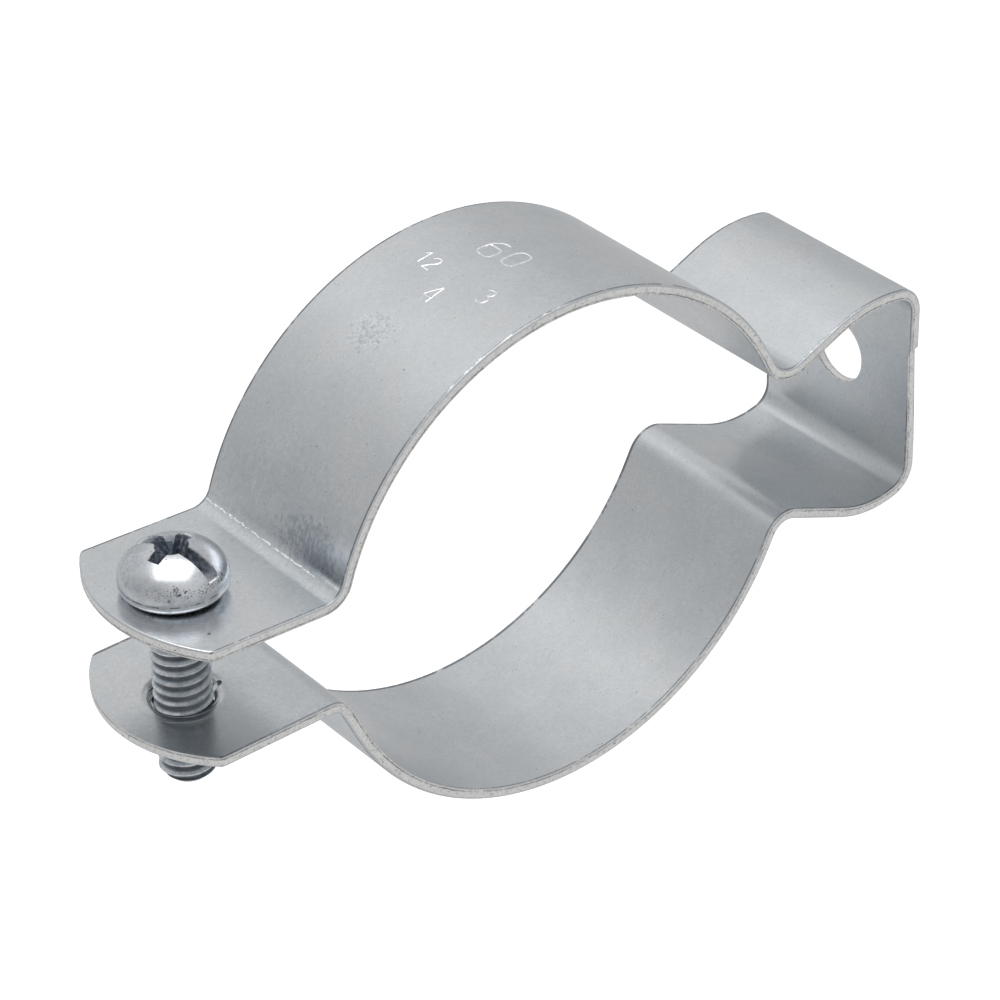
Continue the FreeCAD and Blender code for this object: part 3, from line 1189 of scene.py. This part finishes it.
def zincSheet():
    m = sheetMarks
    material, tree, shader, place = startShader("zincSheet", finish["sheetMetal"], finish["sheetRoughness"])
    sheetMap, (along, across) = readSheetMap(tree)
    mottle, light = plating(tree, place, *m["plating"])

    # the rubbed, darker place on the arc, painted shade by the ear's concave bend, and the dark spots by that
    # bend
    rubbed = sheetSpot(tree, sheetMap, m["rubbed"])
    bendPaintedShade = sheetSpot(tree, sheetMap, m["bendPaintedShade"])
    bendGrain = highest(tree, cloudy(tree, place, m["bendGrain"]), scratches(tree, sheetMap, m["bendDrawn"]))
    bendDark = times(tree, sheetSpot(tree, sheetMap, m["bendDark"]), bendGrain, m["bendDarkShare"])

    # specks, the dot on the ear, the line along the rims, and painted shade over the far rim's lip
    specks = effect(tree, "specks", place, Scale=m["speckScale"], Level=m["speckLevel"])
    rimLineAndShade = fade(tree, awayFrom(tree, maths(tree, "ABSOLUTE", across), m["rimAcross"]), m["rimHalf"])
    rimLineAndShade = highest(tree, rimLineAndShade, mapRange(tree, across, *m["rimLip"]))
    rimLineAndShade = times(tree, rimLineAndShade, cloudy(tree, place, m["rimBreaks"]), m["rimLineAndShadeShare"])
    specksAndRimShade = highest(
        tree, times(tree, specks, m["speckShare"]), sheetSpot(tree, sheetMap, m["earDot"]), rimLineAndShade,
    )

    # the broken pale line in the ear's bend, a painted highlight, with fine strokes running up from it
    fromCrease = addUp(tree, less(tree, along, m["creaseAlong"]), wander(tree, sheetMap, m["creaseWander"]))
    crease = times(
        tree, fade(tree, maths(tree, "ABSOLUTE", fromCrease), m["creaseHalf"]),
        cloudy(tree, sheetMap, m["creaseBreaks"]), mapRange(tree, across, *m["creaseEnd"]),
    )
    nearBend = fade(tree, awayFrom(tree, along, m["bendMiddle"]), m["bendHalf"])
    aboveBend = fade(tree, awayFrom(tree, along, m["streakMiddle"]), m["streakHalf"])
    pale = highest(
        tree, crease, times(tree, scratches(tree, sheetMap, m["strokes"]), nearBend, m["strokeShare"]),
        times(tree, scratches(tree, sheetMap, m["streaks"]), aboveBend, m["streakShare"]),
        times(tree, scratches(tree, sheetMap, m["rubs"]), m["rubShare"]),
    )
    colour = layer(
        tree, finish["sheetShade"], (light, "sheetColour"), (cloudy(tree, sheetMap, m["clouds"]), "sheetWarm"),
        (cloudy(tree, place, m["fineGrain"]), "grainColour"),
        (times(tree, rubbed, cloudy(tree, place, m["rubbedGrain"])), "patchAndShadeColour"),
        (times(tree, bendPaintedShade, m["bendPaintedShadeShare"]), "patchAndShadeColour"), (bendDark, "patchAndShadeColour"),
        (specksAndRimShade, "speckAndShadeColour"), (pale, "paleMarkAndHighlight"),
    )
    # less metal on the crease's painted highlight, and in the bend
    lessMetal = highest(tree, times(tree, crease, m["creaseHighlightMatte"]), times(tree, nearBend, m["bendBare"]))
    tree.links.new(colour, shader.inputs["Base Color"])
    tree.links.new(less(tree, finish["sheetMetal"], lessMetal), shader.inputs["Metallic"])

    # smoother on the flat ears and in the bend, duller where worn and under the upper ear
    upperFlat = fade(tree, along, m["upperFlatEnd"])
    lowerStart = stretchNamed("run", "lowerEnd")[-1]
    lowerFlat = mapRange(tree, along, *[lowerStart + far for far in m["lowerFlatStart"]])
    polish = times(tree, highest(tree, upperFlat, lowerFlat), finish["sheetRoughness"] - finish["earRoughness"])
    under = maths(tree, "LESS_THAN", splitAxes(tree, place)[2], (seatZ - m["undersideDepth"]) * mm)
    rough = addUp(
        tree, less(tree, finish["sheetRoughness"], polish),
        times(tree, less(tree, 0.5, mottle), m["mottleDull"]), times(tree, nearBend, -m["bendPolish"]),
        times(tree, under, upperFlat, m["undersideDull"]),
        times(tree, highest(tree, rubbed, pale), m["wornDull"]),
    )
    tree.links.new(rough, shader.inputs["Roughness"])
    addBump(tree, shader, addUp(tree, noise(tree, place, *m["grain"]), mottle), m["bump"])
    return material


strokeMarks = {
    "roughness": 0.42,
    "plating": (900.0, 0.5, (0.40, 0.60)),
    "bump": (0.2, 0.1 * mm),
}


def struckMark():
    # the struck figures: a painted highlight, paler than the sheet
    m = strokeMarks
    material, tree, shader, place = startShader("struckMark", 1.0, m["roughness"])
    mottle, light = plating(tree, place, *m["plating"])
    tree.links.new(layer(tree, finish["markHighlightShade"], (light, "markHighlight")), shader.inputs["Base Color"])
    addBump(tree, shader, mottle, m["bump"])
    return material


# The cut edge: heights are in mm over the sheet's middle
edgeMarks = {
    "metal": 0.2,
    "roughness": 0.5,
    "wander": (900.0, 3.0, 0.6, 0.16),
    "plating": (420.0, 0.5, (0.36, 0.6)),
    "drag": (420.0, 0.12, 0.0, 0.60),
    "dragShare": 0.30,
    "tornBand": (-0.34, -0.14),
    "tornGrain": (2600.0, 3.0, 0.7, 0.40, 0.60, 0.0, 0.6),
    "grit": (3200.0, 2.0, 0.7, 0.46, 0.70, 0.0, 0.55),
    # dark lines: height, the band on either side in which they fade, and the mask that breaks them
    "fracture": (-0.36, (0.01, 0.09), (300.0, 6.0, 0.85, 0.40, 0.56)),
    "outline": (0.42, (0.01, 0.08), (260.0, 5.0, 0.8, 0.34, 0.50, 0.0, 0.7)),
    "speckScale": 3200.0,
    "speckLevel": 0.72,
    "speckShare": 0.6,
    "darkShare": 0.85,
    "bump": (0.35, 0.1 * mm),
}


def shearedEdge():
    m = edgeMarks
    material, tree, shader, place = startShader("shearedEdge", m["metal"], m["roughness"])
    sheetMap, distances = readSheetMap(tree)
    mottle, light = plating(tree, place, *m["plating"])
    height = addUp(tree, less(tree, distances[1], edgeShift), wander(tree, place, m["wander"]))
    drag = times(tree, scratches(tree, sheetMap, m["drag"]), m["dragShare"])
    torn = times(tree, fade(tree, height, m["tornBand"]), cloudy(tree, place, m["tornGrain"]))
    lines = [
        times(tree, fade(tree, awayFrom(tree, height, at), half), cloudy(tree, place, breaks))
        for at, half, breaks in (m["fracture"], m["outline"])
    ]
    specks = effect(tree, "specks", place, Scale=m["speckScale"], Level=m["speckLevel"])
    dark = highest(tree, *lines, times(tree, specks, m["speckShare"]))
    colour = layer(
        tree, finish["edgeShade"], (light, "edgeColour"), (drag, "edgeShade"), (torn, "edgeTorn"),
        (cloudy(tree, place, m["grit"]), "edgeTorn"), (times(tree, dark, m["darkShare"]), "edgeDark"),
    )
    tree.links.new(colour, shader.inputs["Base Color"])
    addBump(tree, shader, less(tree, mottle, dark), m["bump"])
    return material


# The screw: heights are in mm over the head's seat, places in mm from the screw's axis
screwMarks = {
    "roughness": 0.26,
    "plating": (260.0, 0.4, (0.36, 0.6)),
    "speckScale": 2600.0,
    "speckLevel": 0.74,
    "frontSpeckScale": 6500.0,
    "frontSpeckLevel": 0.60,
    "frontHeight": 2.45,
    "frontHalf": (0.35, 0.75),
    "frontEnd": (-3.2, -1.6),
    "seamHeight": 1.30,
    "seamHalf": (0.03, 0.12),
    "seamBreaks": (700.0, 4.0, 0.7, 0.42, 0.58),
    "blotchPlace": (-2.56, -4.27, 2.72),
    "blotchReach": (0.32, 0.56),
    "blotchWander": (2200.0, 3.0, 0.7, 1.3),
    "spotShare": 0.88,
    # head: levels of the dome, which is 1 on its face and less down in the recess
    "headFoot": -0.15,
    # painted shade in the recess
    "recessLevel": (0.90, 0.975),
    "recessDepth": (2.6, 4.9, 0.9, 0.10),
    "recessStreaks": (1500.0, 2.0, 0.6, 0.40, 0.58, 0.1, 1.0),
    # painted highlight along the recess's rim
    "rimStart": (0.940, 0.955),
    "rimStop": (0.988, 0.994),
    "rimHighlightBreaks": (500.0, 3.0, 0.7, 0.44, 0.56),
    "rimHighlightMatte": 0.8,
    # thread: shares of a pitch from one crest to the next
    "threadTop": -0.05,
    "flanks": (950.0, 4.0, 0.7, 0.40, 0.60),
    "flankShare": 0.8,
    # painted shade under each crest
    "rootStart": (0.20, 0.36),
    "rootStop": (0.90, 0.98),
    "rootShadeShare": 0.85,
    "crestLine": (0.03, 0.09),
    "crestWear": (900.0, 3.0, 0.6, 0.42, 0.60, 0.0, 0.75),
    "mottleDull": 0.26,
    "deepDull": 0.14,
    "grain": (900.0, 4.0, 0.6),
    "bump": (0.06, 0.12 * mm),
}


def zincScrew():
    m, c = screwMarks, clampScrew
    material, tree, shader, place = startShader("zincScrew", 1.0, m["roughness"])
    x, y, z = splitAxes(tree, place)
    x = times(tree, less(tree, x, screwX * mm), 1 / mm)
    y = times(tree, y, 1 / mm)
    above = less(tree, times(tree, z, 1 / mm), seatZ)
    radius = length(tree, x, y)
    mottle, light = plating(tree, place, *m["plating"])

    # specks all over and closer on the head's front, a thin broken dark line over its edge, and one ragged
    # blotch
    specks = effect(tree, "specks", place, Scale=m["speckScale"], Level=m["speckLevel"])
    frontSpecks = times(
        tree, fade(tree, awayFrom(tree, above, m["frontHeight"]), m["frontHalf"]), fade(tree, y, m["frontEnd"]),
        effect(tree, "specks", place, Scale=m["frontSpeckScale"], Level=m["frontSpeckLevel"]),
    )
    seam = fade(tree, awayFrom(tree, above, m["seamHeight"]), m["seamHalf"])
    seam = times(tree, seam, cloudy(tree, place, m["seamBreaks"]))
    fromBlotch = length(tree, *[less(tree, side, at) for side, at in zip((x, y, above), m["blotchPlace"])])
    blotch = fade(tree, addUp(tree, fromBlotch, wander(tree, place, m["blotchWander"])), m["blotchReach"])
    spots = times(tree, highest(tree, specks, frontSpecks, seam, blotch), m["spotShare"])

    # inside the recess: painted shade, darker towards the middle, and a painted highlight along its rim; the
    # plating there is duller too
    flat = maths(tree, "DIVIDE", radius, c["headRadius"])
    tall = maths(tree, "DIVIDE", less(tree, above, c["headEdge"]), c["headHeight"] - c["headEdge"])
    dome = length(tree, flat, tall)
    inHead = maths(tree, "GREATER_THAN", tall, m["headFoot"])
    sunken = times(tree, fade(tree, dome, m["recessLevel"]), inHead)
    recess = times(
        tree, sunken, mapRange(tree, radius, *m["recessDepth"]), cloudy(tree, place, m["recessStreaks"]),
    )
    rimHighlight = times(
        tree, mapRange(tree, dome, *m["rimStart"]), fade(tree, dome, m["rimStop"]), inHead,
        cloudy(tree, place, m["rimHighlightBreaks"]),
    )

    # thread: painted shade under each crest, and a thin brownish line of wear along its lower edge
    inThread = maths(tree, "LESS_THAN", above, m["threadTop"])
    turn = maths(tree, "DIVIDE", maths(tree, "ARCTAN2", y, x), 2 * math.pi)
    overFoot = addUp(tree, above, c["length"] + c["footTurns"] * c["pitch"])
    phase = maths(tree, "FRACT", less(tree, maths(tree, "DIVIDE", overFoot, c["pitch"]), turn))
    flanks = mixColour(tree, cloudy(tree, place, m["flanks"]), finish["threadShade"], finish["threadColour"])
    root = times(
        tree, mapRange(tree, phase, *m["rootStart"]), fade(tree, phase, m["rootStop"]), inThread,
        m["rootShadeShare"],
    )
    crest = times(tree, fade(tree, phase, m["crestLine"]), inThread, cloudy(tree, place, m["crestWear"]))
    colour = layer(
        tree, finish["screwShade"], (light, "screwColour"), (spots, "speckAndShadeColour"), (recess, "recessShadeColour"),
        (rimHighlight, "paleMarkAndHighlight"),
    )
    colour = mixColour(tree, times(tree, inThread, m["flankShare"]), colour, flanks)
    colour = layer(tree, colour, (root, "rootShadeColour"), (crest, "crestRust"))
    tree.links.new(colour, shader.inputs["Base Color"])
    tree.links.new(less(tree, 1.0, times(tree, rimHighlight, m["rimHighlightMatte"])), shader.inputs["Metallic"])
    rough = addUp(
        tree, times(tree, less(tree, 0.5, mottle), m["mottleDull"]), m["roughness"],
        times(tree, highest(tree, sunken, inThread), m["deepDull"]),
    )
    tree.links.new(rough, shader.inputs["Roughness"])
    addBump(tree, shader, noise(tree, place, *m["grain"]), m["bump"])
    return material


foldedStrap.data.materials.clear()
for material in (zincSheet(), shearedEdge(), struckMark()):
    foldedStrap.data.materials.append(material)
for face in foldedStrap.data.polygons:
    if face.index in edgeFaces:
        face.material_index = 1
    elif isStruck(face.center):
        face.material_index = 2
    else:
        face.material_index = 0
screwPiece.data.materials.clear()
screwPiece.data.materials.append(zincScrew())
print("materials made")


# Floor, world and the key lamp over the screw

studio = {
    "floorZ": -0.085,
    "floorSize": 40.0,
    "floorTint": (0.52, 0.52, 0.52, 1),
    "floorGlow": 0.70,
    "floorGlowInGloss": 0.18,
    "worldGlowInGloss": 0.12,
    "worldLow": (0.590, 0.595, 0.600, 1),
    "worldHigh": (0.770, 0.770, 0.770, 1),
    "worldLeft": (0.450, 0.455, 0.460, 1),
    "worldRight": (0.520, 0.525, 0.530, 1),
    "worldRise": (0.0, 0.9),  # levels of Z and X at which the world changes colour
    "worldLeftBand": (-0.8, -0.2),
    "worldRightBand": (0.50, 0.66),
    "keyHeight": 0.60,
    "keyTurn": 137,
    "keyPower": 1.63,
    "keySize": (0.58, 0.46),
}


def raysSeen(tree):
    # what the camera sees directly, and what it sees in metal or through glass
    rays = addNode(tree, "ShaderNodeLightPath", (-600, 0)).outputs
    return rays["Is Camera Ray"], highest(tree, rays["Is Glossy Ray"], rays["Is Transmission Ray"])


def addFloor():
    deselectAll()
    bpy.ops.mesh.primitive_plane_add(size=studio["floorSize"], location=(0, 0, studio["floorZ"]))
    floor = settle(bpy.context.object)
    floor.name = "floor"
    material, tree = newMaterial("whiteFloor")
    out = addNode(tree, "ShaderNodeOutputMaterial", (600, 0))
    both = addNode(tree, "ShaderNodeAddShader", (400, 0))
    diffuse = addNode(tree, "ShaderNodeBsdfDiffuse", (0, 100))
    glow = addNode(tree, "ShaderNodeEmission", (0, -100))
    diffuse.inputs["Color"].default_value = studio["floorTint"]
    seen, mirrored = raysSeen(tree)
    seen = times(tree, seen, studio["floorGlow"])
    shine = addUp(tree, seen, times(tree, mirrored, studio["floorGlowInGloss"]))
    tree.links.new(shine, glow.inputs["Strength"])
    tree.links.new(diffuse.outputs[0], both.inputs[0])
    tree.links.new(glow.outputs[0], both.inputs[1])
    tree.links.new(both.outputs[0], out.inputs[0])
    floor.data.materials.append(material)


def addWorld():
    world = bpy.data.worlds.new("softStudio")
    scene.world = world
    world.use_nodes = True
    tree = world.node_tree
    tree.nodes.clear()
    out = addNode(tree, "ShaderNodeOutputWorld", (600, 0))
    sky = addNode(tree, "ShaderNodeBackground", (300, 0))
    axes = splitAxes(tree, addNode(tree, "ShaderNodeTexCoord", (-600, 0)).outputs["Generated"])
    rise = addNode(tree, "ShaderNodeValToRGB")
    tree.links.new(axes["Z"], rise.inputs["Fac"])
    for end, position, colour in zip(rise.color_ramp.elements, studio["worldRise"], ("worldLow", "worldHigh")):
        end.position = position
        end.color = studio[colour]
    left = fade(tree, axes["X"], studio["worldLeftBand"])
    colour = mixColour(tree, left, rise.outputs["Color"], studio["worldLeft"])
    right = mapRange(tree, axes["X"], *studio["worldRightBand"])
    colour = mixColour(tree, right, colour, studio["worldRight"])
    seen, mirrored = raysSeen(tree)
    white = highest(tree, seen, times(tree, mirrored, studio["worldGlowInGloss"]))
    tree.links.new(mixColour(tree, white, colour, (1, 1, 1, 1)), sky.inputs["Color"])
    tree.links.new(sky.outputs[0], out.inputs[0])


def addKeyLamp():
    # straight over the screw, looking down
    deselectAll()
    place = Vector((screwX * mm, 0, seatZ * mm + studio["keyHeight"]))
    bpy.ops.object.light_add(type="AREA", location=place)
    lamp = bpy.context.object
    lamp.name = "keyLamp"
    lamp.data.shape = "RECTANGLE"
    lamp.data.size, lamp.data.size_y = studio["keySize"]
    lamp.data.energy = studio["keyPower"]
    lamp.rotation_euler = (0, 0, math.radians(studio["keyTurn"]))


addFloor()
addWorld()
addKeyLamp()
print("studio lit")

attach(foldedStrap, "hanger")
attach(screwPiece, "clamp_screw")
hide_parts("strap")
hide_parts("screw")
smoothAngle = 35
faceWeight = 90
for piece in (foldedStrap, screwPiece):
    only(piece)
    bpy.ops.object.shade_smooth_by_angle(angle=math.radians(smoothAngle))
    applyModifier(piece, "WEIGHTED_NORMAL", keep_sharp=True, weight=faceWeight)

scene.view_settings.view_transform = "Standard"
